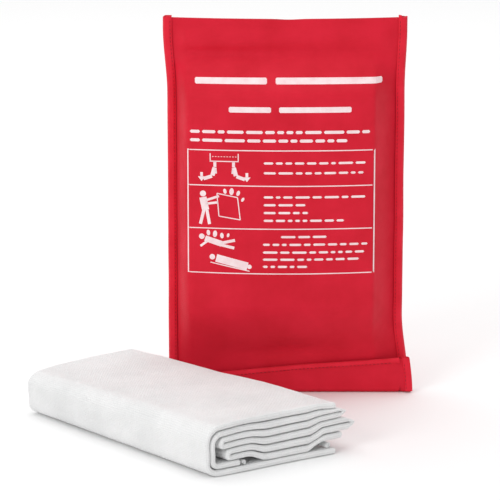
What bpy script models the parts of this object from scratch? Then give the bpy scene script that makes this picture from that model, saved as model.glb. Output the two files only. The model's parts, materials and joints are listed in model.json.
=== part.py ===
"""Fire blanket with its soft storage pouch.

The red pouch stands upright, its flat back towards +Y and its filled-out front
towards -Y, closed at the bottom by a flap folded up over the front. The folded
glass-fibre blanket lies on the ground in front of it, turned so that its layered
end looks out to the right. Metres, +Z up, Z = 0 on the ground.
"""

import math

import bmesh
import bpy
from mathutils import Matrix, Vector

MM = 0.001

# --- Driving dimensions -----------------------------------------------------

CLOTH = 1.0 * MM                # thickness of the coated pouch cloth and its binding
GAP = 0.3 * MM                  # clearance between pieces that are sewn or lie together

POUCH_WIDTH = 180 * MM          # over both side bindings
POUCH_HEIGHT = 290 * MM
BINDING_WIDTH = 7 * MM          # how far a side binding reaches in from the edge
SIDE_SLOPE = 16 * MM            # width of the sloping band beside each binding
BULGE_SIDE = 25 * MM            # depth of the filled front where the slope ends
BULGE_MIDDLE = 34 * MM          # depth of the filled front at its middle
TOP_BAND = 24 * MM              # flat, unfilled strip below the top edge
TOP_RISE = 34 * MM              # height over which the front swells below that strip
MOUTH_DEPTH = 10 * MM           # outer depth of the front panel at the mouth
MOUTH_HEIGHT = 22 * MM          # height of the flat stretch above the mouth
MOUTH_RISE = 44 * MM            # height over which the front swells above it
MOUTH_CLEARANCE = 3 * MM        # from the ground strip up to the front panel's lower edge

STRIP_LENGTH = 112 * MM         # hook-and-loop closure
STRIP_HEIGHT = 7 * MM
STRIP_THICKNESS = 0.8 * MM
STRIP_BOTTOM = 5 * MM
MOUTH_HEM_HEIGHT = 9 * MM
MOUTH_HEM_THICKNESS = 0.8 * MM

FLAP_OVERHANG = 2 * MM          # how much wider than the pouch the flap is, each side
FLAP_LEFT_HEIGHT = 13 * MM      # the flap is folded slightly askew
FLAP_RIGHT_HEIGHT = 28.5 * MM
FLAP_BINDING_WIDTH = 6 * MM
FLAP_HEM_HEIGHT = 3 * MM
FLAP_OPEN_CLEARANCE = 0.5 * MM  # from the flap's fold axis to the end of its ground strip

LOOP_WIDTH = 20 * MM            # hanging loops on the back
LOOP_HEIGHT = 46 * MM
LOOP_FOOT = 9 * MM
LOOP_BOW = 5.4 * MM             # finger of space behind each loop
LOOP_THICKNESS = 1.2 * MM
LOOP_TOP = 14 * MM              # below the pouch's top edge
LOOP_SPACING = 110 * MM
PATCH_BORDER = 4 * MM
PATCH_THICKNESS = 0.8 * MM

PACKET_LENGTH = 222 * MM        # the folded blanket
PACKET_WIDTH = 102 * MM
PLY = 4.4 * MM                  # one folded leaf: four layers of cloth lying together
LEAF_REACH = (3, 7, 4, 0)       # mm by which each inner leaf sticks out, top to bottom
INNER_FOLD_RETURN = 22 * MM     # how far the inner fold turns back under the leaves
HEM_SLACK = 0.4 * MM            # by which a rolled hem is thinner than a leaf
HEM_INSET = 8 * MM              # outer edge's rolled hem, in from the packet's right side

TAPE_WIDTH = 20 * MM            # release tapes sewn to the blanket's far edge
TAPE_THICKNESS = 1.6 * MM
TAPE_LENGTH = 36 * MM
TAPE_DROP_LENGTH = 14 * MM
TAPE_SPACING = 25 * MM
TAPE_PATCH_LENGTH = 24 * MM
TAPE_ROOT = 1.9 * MM            # from the packet's end to the tape's turning axis

PACKET_TURN = math.radians(-50)
PACKET_PAST_CORNER = 27 * MM    # how far the packet runs on behind the pouch's left front corner
PACKET_CLEARANCE = 5 * MM       # from that corner to the longest leaf

# --- Places worked out from them --------------------------------------------

BACK_FACE = -CLOTH - GAP                       # the back panel's outer face, inside the bindings
BACK_INNER = BACK_FACE - CLOTH
FRONT_SEAM = BACK_INNER - GAP - CLOTH          # the front panel's outer face at the side seams
BINDING_FRONT = FRONT_SEAM - GAP - CLOTH
PANEL_HALF = POUCH_WIDTH / 2 - CLOTH - 0.5 * MM
FILLED_HALF = POUCH_WIDTH / 2 - BINDING_WIDTH - GAP
STRIP_TOP_Z = CLOTH                            # upper face of the flap's ground strip
PANEL_BOTTOM = STRIP_TOP_Z + GAP
FRONT_BOTTOM = STRIP_TOP_Z + MOUTH_CLEARANCE

LOOP_STRIP_BACK = -MOUTH_DEPTH - GAP
HOOK_STRIP_BACK = LOOP_STRIP_BACK - STRIP_THICKNESS - GAP
FLAP_INNER = HOOK_STRIP_BACK - STRIP_THICKNESS - GAP
FLAP_OUTER = FLAP_INNER - CLOTH
FLAP_HALF = POUCH_WIDTH / 2 + FLAP_OVERHANG
FLAP_SLANT = math.atan2(FLAP_RIGHT_HEIGHT - FLAP_LEFT_HEIGHT, 2 * FLAP_HALF)
FLAP_MIDDLE_HEIGHT = (FLAP_LEFT_HEIGHT + FLAP_RIGHT_HEIGHT) / 2
FLAP_AXIS = Vector((0, BACK_FACE + FLAP_OPEN_CLEARANCE, 0.2 * MM))

HALF_LENGTH = PACKET_LENGTH / 2
HALF_WIDTH = PACKET_WIDTH / 2
LEAF_PITCH = PLY + GAP
HEM_DIAMETER = PLY - HEM_SLACK
CORE_BOTTOM = 2 * LEAF_PITCH
CORE_LEAVES = len(LEAF_REACH)
INNER_TOP = CORE_BOTTOM + CORE_LEAVES * LEAF_PITCH   # underside of the inner fold's top
TOP_LEAF_BOTTOM = INNER_TOP + LEAF_PITCH

POUCH_CORNER = Vector((-FLAP_HALF, FLAP_OUTER - GAP - CLOTH, 0))
CORNER_IN_PACKET = Vector(
    (PACKET_PAST_CORNER - HALF_LENGTH, HALF_WIDTH + max(LEAF_REACH) * MM + PACKET_CLEARANCE, 0)
)
PACKET_FROM_POUCH = POUCH_CORNER - Matrix.Rotation(PACKET_TURN, 3, "Z") @ CORNER_IN_PACKET


# --- Helpers -----------------------------------------------------------------

for old in list(bpy.data.objects):
    bpy.data.objects.remove(old, do_unlink=True)

parts = bpy.data.collections.new("fire_blanket")
cutters = bpy.data.collections.new("cutters")
bpy.context.scene.collection.children.link(parts)
bpy.context.scene.collection.children.link(cutters)


def material(name, colour, roughness):
    """A plain finish for one piece; colour is linear RGB."""
    made = bpy.data.materials.new(name)
    made.use_nodes = True
    shader = made.node_tree.nodes["Principled BSDF"]
    shader.inputs["Base Color"].default_value = (*colour, 1)
    shader.inputs["Roughness"].default_value = roughness
    shader.inputs["Metallic"].default_value = 0
    return made


RED_CLOTH = ((0.64, 0.022, 0.04), 0.55)
RED_BINDING = ((0.70, 0.026, 0.048), 0.5)
RED_HOOK = ((0.30, 0.012, 0.02), 0.9)
RED_WEBBING = ((0.52, 0.018, 0.03), 0.8)
GLASS_CLOTH = ((0.86, 0.86, 0.85), 0.6)


def frame_empty(name, parent, location=(0, 0, 0), turn=0.0):
    """An empty that carries pieces: a place to build from, or a joint's axis."""
    empty = bpy.data.objects.new(name, None)
    empty.location = location
    empty.rotation_euler = (0, 0, turn)
    empty.parent = parent
    parts.objects.link(empty)
    return empty


def add_piece(name, data, parent, finish, origin=(0, 0, 0)):
    """Links a piece drawn in its parent's frame, whose parent sits at origin in that frame."""
    made = bpy.data.objects.new(name, data)
    made.parent = parent
    made.location = -Vector(origin)
    data.materials.append(material(name, *finish))
    parts.objects.link(made)
    return made


def block(name, low, high, parent, finish, origin=(0, 0, 0)):
    """A box from its lowest to its highest corner."""
    low, high = Vector(low), Vector(high)
    mesh = bpy.data.meshes.new(name)
    shape = bmesh.new()
    place = Matrix.Translation((low + high) / 2) @ Matrix.Diagonal((*(high - low), 1))
    bmesh.ops.create_cube(shape, size=1, matrix=place)
    shape.to_mesh(mesh)
    shape.free()
    return add_piece(name, mesh, parent, finish, origin)


def extruded(name, outline, start, end, along, parent, finish, origin=(0, 0, 0)):
    """A flat outline drawn across one axis and extruded along it, from start to end.

    Along X the outline's pairs are (y, z), and along Z they are (x, y).
    """
    data = bpy.data.curves.new(name, "CURVE")
    data.dimensions = "2D"
    data.fill_mode = "BOTH"
    data.extrude = (end - start) / 2
    spline = data.splines.new("POLY")
    spline.points.add(len(outline) - 1)
    for point, (u, v) in zip(spline.points, outline):
        point.co = (u, v, 0, 1)
    spline.use_cyclic_u = True
    made = add_piece(name, data, parent, finish, origin)
    middle = (start + end) / 2
    if along == "X":
        made.rotation_euler = (math.pi / 2, 0, math.pi / 2)
        made.location += Vector((middle, 0, 0))
    else:
        made.location += Vector((0, 0, middle))
    return made


def arc(centre, radius, start, end, steps):
    """Points on an arc, angles in degrees."""
    found = []
    for i in range(steps + 1):
        angle = math.radians(start + (end - start) * i / steps)
        found.append((centre[0] + radius * math.cos(angle), centre[1] + radius * math.sin(angle)))
    return found


def round_edges(obj, width, segments=2):
    bevel = obj.modifiers.new("round_edges", "BEVEL")
    bevel.width = width
    bevel.segments = segments
    bevel.limit_method = "ANGLE"
    bevel.angle_limit = math.radians(50)


def ease(share):
    """0 to 1 with a soft start and finish."""
    share = min(1, max(0, share))
    return share * share * (3 - 2 * share)


# --- Frames: the whole object, the pouch and the folded blanket ----------------

whole = frame_empty("whole_object", None)
pouch = frame_empty("pouch_frame", whole)
packet = frame_empty("packet_frame", whole, PACKET_FROM_POUCH, PACKET_TURN)
flap = frame_empty("flap_axis", pouch, FLAP_AXIS)

# --- Pouch: back panel ---------------------------------------------------------

block(
    "back_panel",
    (-PANEL_HALF, BACK_INNER, PANEL_BOTTOM),
    (PANEL_HALF, BACK_FACE, POUCH_HEIGHT),
    pouch,
    RED_CLOTH,
)

# --- Pouch: front panel, swollen into a shallow box and flat at its side seams ----


def front_depth(x, z):
    """How far in front of the pouch's back plane the front panel's outer face lies."""
    seam = -FRONT_SEAM
    side = ease((FILLED_HALF - abs(x)) / SIDE_SLOPE)
    crown = 1 - (x / FILLED_HALF) ** 2
    full = BULGE_SIDE + (BULGE_MIDDLE - BULGE_SIDE) * crown
    above_mouth = ease((z - MOUTH_HEIGHT) / MOUTH_RISE)
    below_band = ease((POUCH_HEIGHT - TOP_BAND - z) / TOP_RISE)
    flat = seam + (MOUTH_DEPTH - seam) * (1 - above_mouth)
    return seam + side * (flat + (full - flat) * above_mouth * below_band - seam)


def front_panel():
    columns, rows = 22, 24
    mesh = bpy.data.meshes.new("front_panel")
    shape = bmesh.new()
    bmesh.ops.create_grid(shape, x_segments=columns, y_segments=rows, size=1)
    filled_share = 1 - 2 / columns             # the outermost column is the flat seam margin
    for vertex in shape.verts:
        across = vertex.co.x
        in_margin = abs(across) > filled_share + 0.5 / columns
        x = math.copysign(PANEL_HALF, across) if in_margin else across / filled_share * FILLED_HALF
        share = (vertex.co.y + 1) / 2
        z = FRONT_BOTTOM + (POUCH_HEIGHT - FRONT_BOTTOM) * share
        vertex.co = (x, -front_depth(x, z), z)
    bmesh.ops.recalc_face_normals(shape, faces=shape.faces)
    if sum(face.normal.y for face in shape.faces) > 0:
        bmesh.ops.reverse_faces(shape, faces=shape.faces)
    shape.to_mesh(mesh)
    shape.free()
    made = add_piece("front_panel", mesh, pouch, RED_CLOTH)
    wall = made.modifiers.new("cloth", "SOLIDIFY")
    wall.thickness = CLOTH
    wall.offset = -1
    return made


front_panel()

# --- Pouch: side bindings, folded round the edges of both panels ------------------


def folded_binding(outer_x, reach, back, front, side):
    """Outline (x, y) of tape folded round an edge at outer_x, open towards the middle."""
    inner_x = outer_x - side * reach
    web = outer_x - side * CLOTH
    return [
        (inner_x, back),
        (outer_x, back),
        (outer_x, front),
        (inner_x, front),
        (inner_x, front + CLOTH),
        (web, front + CLOTH),
        (web, back - CLOTH),
        (inner_x, back - CLOTH),
    ]


for side, word in ((-1, "left"), (1, "right")):
    extruded(
        f"{word}_side_binding",
        folded_binding(side * POUCH_WIDTH / 2, BINDING_WIDTH, 0, BINDING_FRONT, side),
        PANEL_BOTTOM,
        POUCH_HEIGHT + CLOTH,
        "Z",
        pouch,
        RED_BINDING,
    )

# --- Pouch: hem inside the mouth, and the loop half of its closure -----------------

block(
    "mouth_hem",
    (-STRIP_LENGTH / 2, -MOUTH_DEPTH + CLOTH + GAP, FRONT_BOTTOM),
    (STRIP_LENGTH / 2, -MOUTH_DEPTH + CLOTH + GAP + MOUTH_HEM_THICKNESS, FRONT_BOTTOM + MOUTH_HEM_HEIGHT),
    pouch,
    RED_BINDING,
)
block(
    "loop_strip",
    (-STRIP_LENGTH / 2, LOOP_STRIP_BACK - STRIP_THICKNESS, STRIP_BOTTOM),
    (STRIP_LENGTH / 2, LOOP_STRIP_BACK, STRIP_BOTTOM + STRIP_HEIGHT),
    pouch,
    RED_HOOK,
)

# --- Pouch: hanging loops on the back, each sewn down over a patch -----------------


def loop_outline(face, top):
    """Outline (y, z) of webbing sewn down at both ends and bowed out between them."""
    bottom = top - LOOP_HEIGHT
    middle = (top + bottom) / 2
    bowed = LOOP_HEIGHT / 2 - LOOP_FOOT
    shoulder = 0.7
    inner, outer = [], []
    for found, foot, bow in (
        (inner, face, face + LOOP_BOW),
        (outer, face + LOOP_THICKNESS, face + LOOP_BOW + LOOP_THICKNESS),
    ):
        found.append((foot, bottom))
        found.append((foot, middle - bowed))
        found.append((bow, middle - bowed * shoulder))
        found.append((bow, middle + bowed * shoulder))
        found.append((foot, middle + bowed))
        found.append((foot, top))
    return inner + outer[::-1]


for side, word in ((-1, "left"), (1, "right")):
    middle = side * LOOP_SPACING / 2
    patch_face = BACK_FACE + GAP + PATCH_THICKNESS
    patch_top = POUCH_HEIGHT - LOOP_TOP
    block(
        f"loop_patch_{word}",
        (middle - LOOP_WIDTH / 2 - PATCH_BORDER, BACK_FACE + GAP, patch_top - LOOP_HEIGHT - 2 * PATCH_BORDER),
        (middle + LOOP_WIDTH / 2 + PATCH_BORDER, patch_face, patch_top),
        pouch,
        RED_BINDING,
    )
    extruded(
        f"hanging_loop_{word}",
        loop_outline(patch_face + GAP, patch_top - PATCH_BORDER),
        middle - LOOP_WIDTH / 2,
        middle + LOOP_WIDTH / 2,
        "X",
        pouch,
        RED_WEBBING,
    )

# --- Flap: runs forward under the mouth and up over the front; its top is slanted --


def slanted_cut(piece):
    """Cuts a flap piece off above the slanted line of the flap's upper edge."""
    tall = 60 * MM
    mesh = bpy.data.meshes.new(f"{piece.name}_cutter")
    shape = bmesh.new()
    size = Matrix.Diagonal((4 * FLAP_HALF, 4 * MOUTH_DEPTH, tall, 1))
    bmesh.ops.create_cube(shape, size=1, matrix=Matrix.Translation((0, 0, tall / 2)) @ size)
    shape.to_mesh(mesh)
    shape.free()
    cutter = bpy.data.objects.new(f"{piece.name}_cutter", mesh)
    cutter.parent = flap
    cutter.location = Vector((0, FLAP_OUTER, FLAP_MIDDLE_HEIGHT)) - FLAP_AXIS
    cutter.rotation_euler = (0, -FLAP_SLANT, 0)
    cutter.hide_render = True
    cutter.display_type = "WIRE"
    cutters.objects.link(cutter)
    cut = piece.modifiers.new("slanted_top", "BOOLEAN")
    cut.operation = "DIFFERENCE"
    cut.object = cutter


def meshed(piece):
    """The same piece as a closed mesh, which a Boolean can cut."""
    graph = bpy.context.evaluated_depsgraph_get()
    graph.update()
    name, parent, location = piece.name, piece.parent, piece.location.copy()
    turn = piece.rotation_euler.copy()
    finish = piece.data.materials[0]
    mesh = bpy.data.meshes.new_from_object(piece.evaluated_get(graph))
    shape = bmesh.new()
    shape.from_mesh(mesh)
    bmesh.ops.remove_doubles(shape, verts=shape.verts, dist=1e-6)
    bmesh.ops.recalc_face_normals(shape, faces=shape.faces)
    shape.to_mesh(mesh)
    shape.free()
    bpy.data.objects.remove(piece, do_unlink=True)
    mesh.materials.clear()
    mesh.materials.append(finish)
    made = bpy.data.objects.new(name, mesh)
    made.parent, made.location, made.rotation_euler = parent, location, turn
    parts.objects.link(made)
    return made


flap_outline = [
    (BACK_FACE, 0),
    (BACK_FACE, CLOTH),
    (FLAP_INNER, CLOTH),
    (FLAP_INNER, FLAP_RIGHT_HEIGHT + CLOTH),
    (FLAP_OUTER, FLAP_RIGHT_HEIGHT + CLOTH),
    (FLAP_OUTER, 0),
]
FLAP_CLOTH_HALF = FLAP_HALF - CLOTH - GAP
slanted_cut(
    meshed(
        extruded(
            "closing_flap",
            flap_outline,
            -FLAP_CLOTH_HALF,
            FLAP_CLOTH_HALF,
            "X",
            flap,
            RED_CLOTH,
            FLAP_AXIS,
        )
    )
)
for side, word in ((-1, "left"), (1, "right")):
    binding = extruded(
        f"flap_{word}_binding",
        folded_binding(
            side * FLAP_HALF,
            FLAP_BINDING_WIDTH,
            FLAP_INNER + GAP + CLOTH,
            FLAP_OUTER - GAP - CLOTH,
            side,
        ),
        STRIP_TOP_Z + GAP,
        FLAP_RIGHT_HEIGHT + CLOTH,
        "Z",
        flap,
        RED_BINDING,
        FLAP_AXIS,
    )
    slanted_cut(meshed(binding))

block(
    "hook_strip",
    (-STRIP_LENGTH / 2, HOOK_STRIP_BACK - STRIP_THICKNESS, STRIP_BOTTOM),
    (STRIP_LENGTH / 2, HOOK_STRIP_BACK, STRIP_BOTTOM + STRIP_HEIGHT),
    flap,
    RED_HOOK,
    FLAP_AXIS,
)
hem_half = FLAP_HALF - FLAP_BINDING_WIDTH - FLAP_HEM_HEIGHT
flap_hem = block(
    "flap_hem",
    (-hem_half, -CLOTH, -FLAP_HEM_HEIGHT),
    (hem_half, 0, 0),
    flap,
    RED_BINDING,
)
flap_hem.location = Vector((0, FLAP_OUTER - GAP, FLAP_MIDDLE_HEIGHT - GAP)) - FLAP_AXIS
flap_hem.rotation_euler = (0, -FLAP_SLANT, 0)

# --- Folded blanket: outer fold, the bottom leaf and the spine ----------------------

ROUND = 3 * MM
spine_inner = -HALF_WIDTH + PLY
outer_outline = [(HALF_WIDTH - HEM_INSET / 2, 0)]
outer_outline += arc((-HALF_WIDTH + ROUND + PLY, ROUND + PLY), ROUND + PLY, 270, 180, 6)
outer_outline += [(-HALF_WIDTH, TOP_LEAF_BOTTOM - GAP), (spine_inner, TOP_LEAF_BOTTOM - GAP)]
outer_outline += arc((spine_inner + ROUND, ROUND + PLY), ROUND, 180, 270, 6)
outer_outline += [(HALF_WIDTH - HEM_INSET / 2, PLY)]
extruded("blanket_outer_fold", outer_outline, -HALF_LENGTH, HALF_LENGTH, "X", packet, GLASS_CLOTH)

# --- Folded blanket: inner fold, nested in the outer one and open to the right -------

left = spine_inner + GAP
low = PLY + GAP
high = INNER_TOP + PLY
inner_outline = [(left + ROUND + INNER_FOLD_RETURN, low)]
inner_outline += arc((left + ROUND, low + ROUND), ROUND, 270, 180, 6)
inner_outline += arc((left + ROUND, high - ROUND), ROUND, 180, 90, 6)
inner_outline += [(HALF_WIDTH, high), (HALF_WIDTH, INNER_TOP), (left + PLY, INNER_TOP)]
inner_outline += [(left + PLY, low + PLY), (left + ROUND + INNER_FOLD_RETURN, low + PLY)]
extruded("blanket_inner_fold", inner_outline, -HALF_LENGTH, HALF_LENGTH, "X", packet, GLASS_CLOTH)

# --- Folded blanket: the leaves inside, fanned a little to the right ------------------

for number, reach in enumerate(LEAF_REACH, 1):
    bottom = INNER_TOP - number * LEAF_PITCH
    leaf = block(
        f"blanket_leaf_{number}",
        (-HALF_LENGTH, left + PLY + GAP, bottom),
        (HALF_LENGTH, HALF_WIDTH + reach * MM, bottom + PLY),
        packet,
        GLASS_CLOTH,
    )
    round_edges(leaf, PLY * 0.3)

# --- Folded blanket: rolled hems of the sheet's two free edges, under the leaves -------

hem_height = PLY + GAP + HEM_DIAMETER / 2
inner_hem_y = left + ROUND + INNER_FOLD_RETURN + GAP + HEM_DIAMETER / 2
for word, y in (("inner", inner_hem_y), ("outer", HALF_WIDTH - HEM_INSET)):
    extruded(
        f"blanket_{word}_hem",
        arc((y, hem_height), HEM_DIAMETER / 2, 0, 330, 11),
        -HALF_LENGTH,
        HALF_LENGTH,
        "X",
        packet,
        GLASS_CLOTH,
    )

# --- Folded blanket: the top leaf, which opens about the spine like a book cover -------

TOP_LEAF_AXIS = Vector((0, -HALF_WIDTH - GAP / 2, TOP_LEAF_BOTTOM - GAP / 2))
top_leaf_frame = frame_empty("top_leaf_axis", packet, TOP_LEAF_AXIS)
top_leaf = block(
    "blanket_top_leaf",
    (-HALF_LENGTH, -HALF_WIDTH, TOP_LEAF_BOTTOM),
    (HALF_LENGTH, HALF_WIDTH - GAP, TOP_LEAF_BOTTOM + PLY),
    top_leaf_frame,
    GLASS_CLOTH,
    TOP_LEAF_AXIS,
)
round_edges(top_leaf, PLY * 0.3)

# --- Release tapes, sewn between the leaves at the far end and lying on the ground ------


def tape_outline(root, top):
    """Outline (x, z) of a tape that leaves the packet at height top and settles on the ground."""
    upper, lower = [], []
    steps = 5
    for i in range(steps + 1):
        fall = ease(i / steps)
        x = root - TAPE_DROP_LENGTH * i / steps
        upper.append((x, top + (TAPE_THICKNESS - top) * fall))
        lower.append((x, top - TAPE_THICKNESS + (TAPE_THICKNESS - top) * fall))
    end = root - TAPE_LENGTH
    nose = arc((end, TAPE_THICKNESS / 2), TAPE_THICKNESS / 2, 90, 270, 4)
    return upper + nose + lower[::-1]


tape_first = inner_hem_y + HEM_DIAMETER / 2 + TAPE_WIDTH / 2 + 2 * MM
for number, word in enumerate(("left", "right")):
    middle = tape_first + TAPE_SPACING * number
    root_top = PLY + GAP + TAPE_THICKNESS
    block(
        f"tape_patch_{word}",
        (-HALF_LENGTH + GAP, middle - TAPE_WIDTH / 2, PLY + GAP),
        (-HALF_LENGTH + TAPE_PATCH_LENGTH, middle + TAPE_WIDTH / 2, root_top),
        packet,
        RED_WEBBING,
    )
    axis = Vector((-HALF_LENGTH - TAPE_ROOT, middle, root_top - TAPE_THICKNESS / 2))
    tape_frame = frame_empty(f"tape_axis_{word}", packet, axis)
    tape = extruded(
        f"release_tape_{word}",
        [(-x, z) for x, z in tape_outline(-HALF_LENGTH - TAPE_ROOT, root_top)],
        -TAPE_WIDTH / 2,
        TAPE_WIDTH / 2,
        "X",
        tape_frame,
        RED_WEBBING,
        axis,
    )
    tape.rotation_euler = (math.pi / 2, 0, math.pi)
    tape.location = Vector((0, middle, 0)) - axis

# --- The frame: its origin is under the middle of the whole object, on the ground -------


def whole_box():
    """The lowest and highest corner of every piece as it is built."""
    graph = bpy.context.evaluated_depsgraph_get()
    graph.update()
    corners = []
    for piece in parts.objects:
        if piece.type != "EMPTY":
            built = piece.evaluated_get(graph)
            mesh = built.to_mesh()
            corners += [built.matrix_world @ vertex.co for vertex in mesh.vertices]
            built.to_mesh_clear()
    low = Vector(min(c[i] for c in corners) for i in range(3))
    high = Vector(max(c[i] for c in corners) for i in range(3))
    return low, high


low, high = whole_box()
whole.location = (-(low.x + high.x) / 2, -(low.y + high.y) / 2, -low.z)
bpy.context.view_layer.update()
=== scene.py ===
import json
import math
import random

import bmesh
import bpy
import numpy as np
from mathutils import Matrix, Vector, noise

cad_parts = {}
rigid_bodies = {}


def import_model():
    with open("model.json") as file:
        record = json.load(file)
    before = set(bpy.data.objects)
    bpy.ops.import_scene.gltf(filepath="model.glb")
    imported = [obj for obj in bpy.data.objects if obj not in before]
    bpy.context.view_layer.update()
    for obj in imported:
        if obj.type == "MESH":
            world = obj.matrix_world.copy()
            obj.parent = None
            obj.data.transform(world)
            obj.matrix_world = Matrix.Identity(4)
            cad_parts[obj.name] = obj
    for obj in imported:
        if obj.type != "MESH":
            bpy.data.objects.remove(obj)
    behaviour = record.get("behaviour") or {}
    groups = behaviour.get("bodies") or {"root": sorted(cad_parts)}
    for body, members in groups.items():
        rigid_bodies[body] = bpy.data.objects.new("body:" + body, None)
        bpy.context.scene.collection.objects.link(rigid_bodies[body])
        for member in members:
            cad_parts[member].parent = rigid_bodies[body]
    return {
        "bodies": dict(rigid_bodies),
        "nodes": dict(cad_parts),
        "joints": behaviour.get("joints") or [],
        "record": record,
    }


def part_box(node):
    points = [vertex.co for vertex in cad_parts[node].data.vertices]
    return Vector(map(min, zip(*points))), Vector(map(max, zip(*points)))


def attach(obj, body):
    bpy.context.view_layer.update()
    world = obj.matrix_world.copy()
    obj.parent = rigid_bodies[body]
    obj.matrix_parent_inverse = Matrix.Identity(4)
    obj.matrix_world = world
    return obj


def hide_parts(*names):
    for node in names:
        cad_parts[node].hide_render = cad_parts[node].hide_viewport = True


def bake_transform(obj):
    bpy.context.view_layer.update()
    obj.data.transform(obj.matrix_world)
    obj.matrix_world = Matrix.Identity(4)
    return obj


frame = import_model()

bodies = list(frame["bodies"].values())
for stray in [o for o in bpy.data.objects if o.name not in frame["nodes"] and o not in bodies]:
    bpy.data.objects.remove(stray, do_unlink=True)
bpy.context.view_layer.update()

MM = 0.001

# --- Studio --------------------------------------------------------------------------
# A long lens a little above the table looks square at the pouch's printed front.
# White table, and soft light that comes mostly from the upper left.

pouch_x = (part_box("front_panel")[0].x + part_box("front_panel")[1].x) / 2 / MM
pouch_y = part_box("left_side_binding")[1].y / MM

CAMERA_RAISE = math.radians(13)
CAMERA_AWAY = 2.15
look_at = Vector(((pouch_x - 27.2) * MM, pouch_y * MM, 0.1097))
lens = bpy.data.cameras.new("camera")
lens.lens = 202
lens.clip_end = 50
camera = bpy.data.objects.new("camera", lens)
bpy.context.scene.collection.objects.link(camera)
camera.location = look_at + CAMERA_AWAY * Vector((0, -math.cos(CAMERA_RAISE), math.sin(CAMERA_RAISE)))
camera.rotation_euler = (math.pi / 2 - CAMERA_RAISE, 0, 0)
bpy.context.scene.camera = camera


def linear(colour):
    """An sRGB hex colour as the linear one that a shader takes."""
    shares = [int(colour[i:i + 2], 16) / 255 for i in (1, 3, 5)]
    return (*[s / 12.92 if s <= 0.04045 else ((s + 0.055) / 1.055) ** 2.4 for s in shares], 1)


def add(tree, kind, settings, links):
    """Adds one node: its settings, and for each socket a value or the socket that feeds it."""
    made = tree.nodes.new(kind)
    for name, value in settings.items():
        setattr(made, name, value)
    for socket, value in links.items():
        if isinstance(value, bpy.types.NodeSocket):
            tree.links.new(value, made.inputs[socket])
        else:
            made.inputs[socket].default_value = value
    return made


world = bpy.data.worlds.new("studio")
world.use_nodes = True
world.node_tree.nodes["Background"].inputs["Color"].default_value = (1, 1, 1, 1)
world.node_tree.nodes["Background"].inputs["Strength"].default_value = 0.62
bpy.context.scene.world = world
bpy.context.scene.view_settings.view_transform = "Standard"

for name, place, size, power in (
    ("key_light", (-1.6, -2.2, 1.35), 1.1, 25),
    ("top_light", (0.0, 0.9, 2.8), 4.5, 66),
):
    light = bpy.data.lights.new(name, "AREA")
    light.size = size
    light.energy = power
    lamp = bpy.data.objects.new(name, light)
    bpy.context.scene.collection.objects.link(lamp)
    lamp.location = place
    lamp.rotation_euler = (look_at - Vector(place)).to_track_quat("-Z", "Y").to_euler()

bpy.ops.object.select_all(action="DESELECT")
bpy.ops.mesh.primitive_plane_add(size=14, location=(0, 2, 0))
table_top = bpy.context.object
table_top.name = "table_top"
white_table = bpy.data.materials.new("white_table")
white_table.use_nodes = True
white_table.node_tree.nodes["Principled BSDF"].inputs["Base Color"].default_value = linear("#F8F8F8")
white_table.node_tree.nodes["Principled BSDF"].inputs["Roughness"].default_value = 0.9
white_table.node_tree.nodes["Principled BSDF"].inputs["Specular IOR Level"].default_value = 0.1
table_top.data.materials.append(white_table)

# --- Pouch back ----------------------------------------------------------------------
# One flat panel of coated woven polyester, red right through and cut to size.
# It hangs against the wall and carries the loops, the side bindings and the flap.

PANEL_HALF = 88.5
PANEL_LOW, PANEL_HIGH = 1.3, 290
BACK_MIDDLE = 1.8               # from the bindings' back to the middle of the cloth
CLOTH = 0.9
THREAD = 0.9                    # real threads are 0.35 mm apart, drawn coarser to show
FUZZ = 0.35                     # how far stray fibres stand up, against a thread's own height


def ease(share):
    """0 to 1 with a soft start and finish."""
    share = np.clip(share, 0, 1)
    return share * share * (3 - 2 * share)


def hill(distance, reach):
    """1 at the middle, falling softly away over about the reach."""
    return np.exp(-(distance / reach) ** 2)


def ripple(x, y, z, wave):
    """A smooth unevenness from about -1 to 1 with hills about wave millimetres apart."""
    x, y, z = np.broadcast_arrays(x, y, z)
    found = [noise.noise(Vector(p)) for p in zip(x.ravel() / wave, y.ravel() / wave, z.ravel() / wave)]
    return np.array(found).reshape(x.shape)


def cloth(name, points, pattern, thickness, finish):
    """A sheet of cloth from rows of points, with the weave's own coordinates, all in mm.

    The outer face is the one from which the rows run up and the points to the right.
    """
    points, pattern = np.asarray(points, float), np.asarray(pattern, float)
    rows, columns = points.shape[:2]
    at = np.arange(rows * columns).reshape(rows, columns)
    faces = np.stack([at[:-1, :-1], at[:-1, 1:], at[1:, 1:], at[1:, :-1]], -1).reshape(-1, 4)
    mesh = bpy.data.meshes.new(name)
    mesh.from_pydata((points.reshape(-1, 3) * MM).tolist(), [], faces.tolist())
    weave_map = mesh.uv_layers.new(name="weave")
    weave_map.data.foreach_set("uv", (pattern.reshape(-1, 2)[faces.ravel()] * MM).ravel())
    made = bpy.data.objects.new(name, mesh)
    bpy.context.scene.collection.objects.link(made)
    bpy.ops.object.select_all(action="DESELECT")
    bpy.context.view_layer.objects.active = made
    made.select_set(True)
    wall = made.modifiers.new("thickness", "SOLIDIFY")
    wall.thickness = thickness * MM
    wall.offset = 0
    wall.use_even_offset = False
    bpy.ops.object.modifier_apply(modifier="thickness")
    bpy.ops.object.shade_smooth_by_angle(angle=math.radians(60))
    mesh.materials.append(finish)
    return made


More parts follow.
